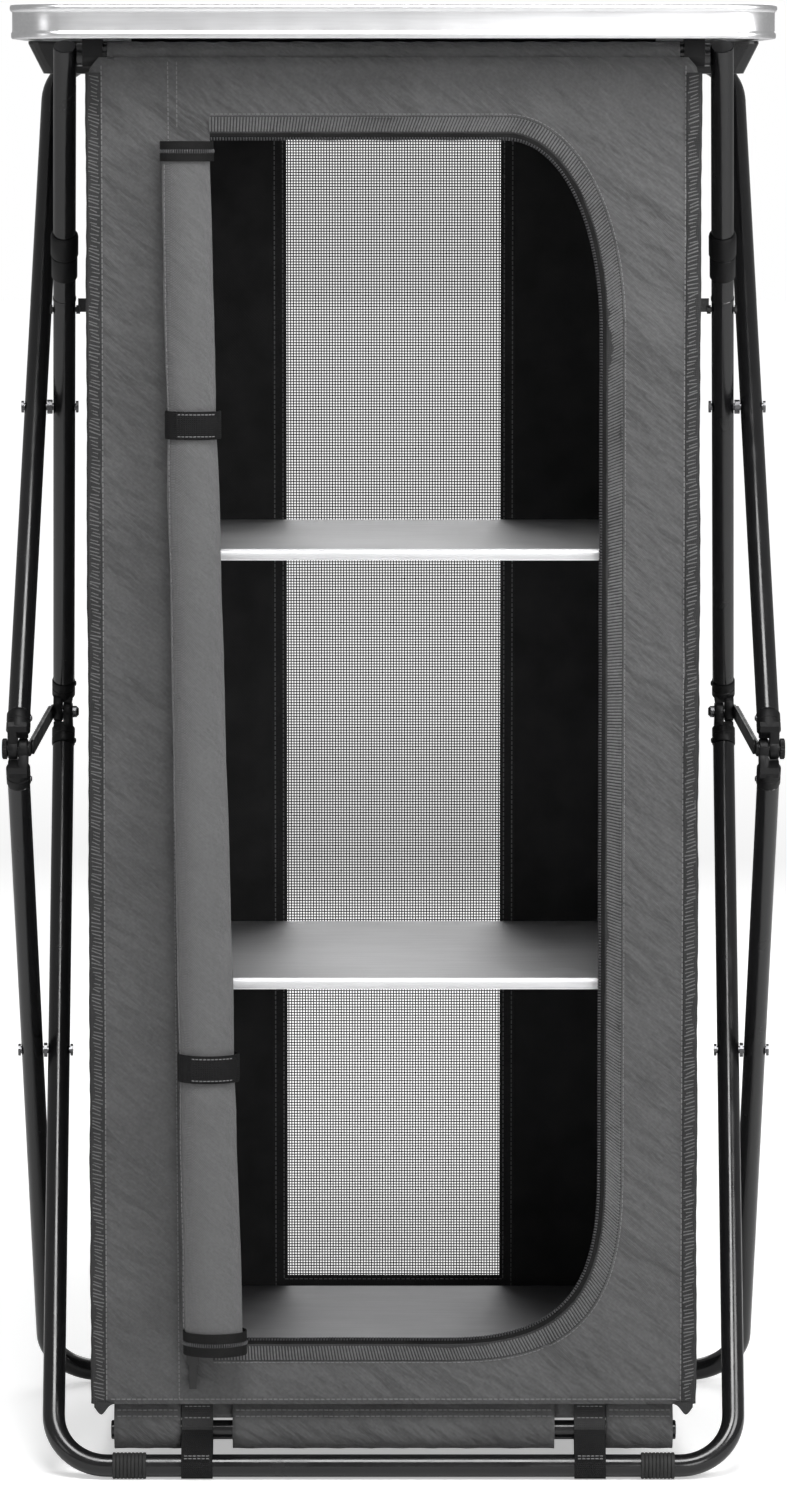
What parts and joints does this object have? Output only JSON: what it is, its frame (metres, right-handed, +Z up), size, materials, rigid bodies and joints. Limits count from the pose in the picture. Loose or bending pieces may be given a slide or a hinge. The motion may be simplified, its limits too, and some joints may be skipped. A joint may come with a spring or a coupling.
{
  "type": "folding camping storage cabinet",
  "caption": "Tall cloth camping cabinet with shelves, a rolled-up zip door and a mesh window, on a folding scissor frame of bent tubes under a flat table top.",
  "frame": {"origin": "on the floor under the middle of the cabinet", "axes": "+Z up, -Y out of the door, +X to the right seen from the front"},
  "size_m": [0.6236, 0.5, 1.171],
  "materials": {
    "black_steel": "satin black powder coat",
    "hinge_plastic": "moulded black nylon",
    "tray_plastic": "moulded dark tray",
    "rivet_steel": "plated steel",
    "rim_aluminium": "brushed",
    "table_aluminium": "brushed",
    "shelf_aluminium": "brushed",
    "rubber": "matt",
    "cabinet_cloth": "plain-woven polyester",
    "door_cloth": "plain-woven polyester",
    "webbing": "woven webbing",
    "window_net": "open mesh"
  },
  "bodies": {
    "cabinet": {"cloth_front": "cabinet_cloth", "cloth_back": "cabinet_cloth", "cloth_top": "cabinet_cloth", "cloth_walls": "cabinet_cloth", "window_net": "window_net", "door_roll": "door_cloth", "roll_strap_lower": "webbing", "roll_strap_upper": "webbing", "hem_front": "cabinet_cloth", "hem_rod": "black_steel", "strap_front_left": "webbing", "strap_front_right": "webbing", "shelf_floor": "shelf_aluminium"},
    "front_base": {"base_front_tube": "black_steel", "foot_front_left": "rubber", "foot_front_right": "rubber", "knee_rear_lower_left": "hinge_plastic", "knee_rear_lower_right": "hinge_plastic", "cross_pin_lower_left": "rivet_steel", "cross_pin_lower_right": "rivet_steel", "hinge_bolt_rear_left": "rivet_steel", "hinge_bolt_rear_right": "rivet_steel"},
    "rear_base": {"base_rear_tube": "black_steel", "foot_rear_left": "rubber", "foot_rear_right": "rubber", "knee_front_lower_left": "hinge_plastic", "knee_front_lower_right": "hinge_plastic", "rear_base_flap": "cabinet_cloth"},
    "front_upper": {"front_arm_left": "black_steel", "front_arm_right": "black_steel", "top_front_rail": "black_steel", "wing_bolt_left": "rivet_steel", "wing_bolt_right": "rivet_steel", "cross_pin_upper_left": "rivet_steel", "cross_pin_upper_right": "rivet_steel", "knee_rear_upper_left": "hinge_plastic", "knee_rear_upper_right": "hinge_plastic"},
    "rear_upper": {"top_rear_tube": "black_steel", "knee_front_upper_left": "hinge_plastic", "knee_front_upper_right": "hinge_plastic", "rear_top_flap": "cabinet_cloth"},
    "table": {"table_panel": "table_aluminium", "table_rim": "rim_aluminium", "table_tray": "tray_plastic", "rail_clip_left": "hinge_plastic", "rail_clip_right": "hinge_plastic", "rest_pad": "hinge_plastic", "top_cloth_sleeve": "cabinet_cloth"},
    "upper_shelf": {"shelf_upper": "shelf_aluminium"},
    "lower_shelf": {"shelf_lower": "shelf_aluminium"},
    "rear_braces": {"brace_rear_left": "black_steel", "brace_rear_right": "black_steel"},
    "front_braces": {"brace_front_left": "black_steel", "brace_front_right": "black_steel"},
    "left_lock": {"lock_sleeve_left": "hinge_plastic"},
    "right_lock": {"lock_sleeve_right": "hinge_plastic"},
    "left_knob": {"hinge_knob_left": "hinge_plastic"},
    "right_knob": {"hinge_knob_right": "hinge_plastic"},
    "zip": {"zip_slider": "rivet_steel"}
  },
  "joints": [
    {"name": "fold", "type": "hinge", "parent": "cabinet", "child": "front_base", "pos_m": [0, -0.203, 0.01063], "axis": [-1, 0, 0], "range_deg": [0, 46], "deforming": ["cloth_front", "cloth_back", "cloth_top", "cloth_walls", "window_net", "door_roll", "roll_strap_lower", "roll_strap_upper"]},
    {"name": "lower_scissor", "type": "hinge", "parent": "front_base", "child": "rear_base", "pos_m": [0, 0, 0.31699], "axis": [1, 0, 0], "range_deg": [0, 92]},
    {"name": "rear_knee", "type": "hinge", "parent": "front_base", "child": "front_upper", "pos_m": [0, 0.1624, 0.582], "axis": [1, 0, 0], "range_deg": [0, 92]},
    {"name": "upper_scissor", "type": "hinge", "parent": "front_upper", "child": "rear_upper", "pos_m": [0, 0, 0.847], "axis": [-1, 0, 0], "range_deg": [0, 92]},
    {"name": "table_level", "type": "hinge", "parent": "front_upper", "child": "table", "pos_m": [0, -0.18884, 1.132], "axis": [-1, 0, 0], "range_deg": [0, 46]},
    {"name": "rear_brace_level", "type": "hinge", "parent": "front_base", "child": "rear_braces", "pos_m": [0, 0.1624, 0.582], "axis": [1, 0, 0], "range_deg": [0, 46]},
    {"name": "front_brace_level", "type": "hinge", "parent": "rear_base", "child": "front_braces", "pos_m": [0, -0.1624, 0.582], "axis": [-1, 0, 0], "range_deg": [0, 46]},
    {"name": "upper_shelf_drop", "type": "slide", "parent": "cabinet", "child": "upper_shelf", "axis": [0, 0, -1], "range_m": [0, 0.55869]},
    {"name": "lower_shelf_drop", "type": "slide", "parent": "cabinet", "child": "lower_shelf", "axis": [0, 0, -1], "range_m": [0, 0.27894]},
    {"name": "left_lock_slide", "type": "slide", "parent": "front_upper", "child": "left_lock", "axis": [0.0318, -0.5521, 0.8332], "range_m": [0, 0.12]},
    {"name": "right_lock_slide", "type": "slide", "parent": "front_upper", "child": "right_lock", "axis": [-0.0318, -0.5521, 0.8332], "range_m": [0, 0.12]},
    {"name": "left_knob_turn", "type": "hinge", "parent": "rear_upper", "child": "left_knob", "pos_m": [0, -0.1624, 0.582], "axis": [-1, 0, 0], "continuous": true},
    {"name": "right_knob_turn", "type": "hinge", "parent": "rear_upper", "child": "right_knob", "pos_m": [0, -0.1624, 0.582], "axis": [1, 0, 0], "continuous": true},
    {"name": "zip_slide", "type": "slide", "parent": "cabinet", "child": "zip", "axis": [1, 0, 0], "range_m": [0, 0.26]}
  ],
  "couplings": [
    {"joint": "lower_scissor", "follows": "fold", "ratio": 2},
    {"joint": "rear_knee", "follows": "fold", "ratio": 2},
    {"joint": "upper_scissor", "follows": "fold", "ratio": 2},
    {"joint": "table_level", "follows": "fold", "ratio": 1},
    {"joint": "rear_brace_level", "follows": "fold", "ratio": 1},
    {"joint": "front_brace_level", "follows": "fold", "ratio": 1},
    {"joint": "upper_shelf_drop", "follows": "fold", "m_per_rad": 0.69588},
    {"joint": "lower_shelf_drop", "follows": "fold", "m_per_rad": 0.34742}
  ]
}
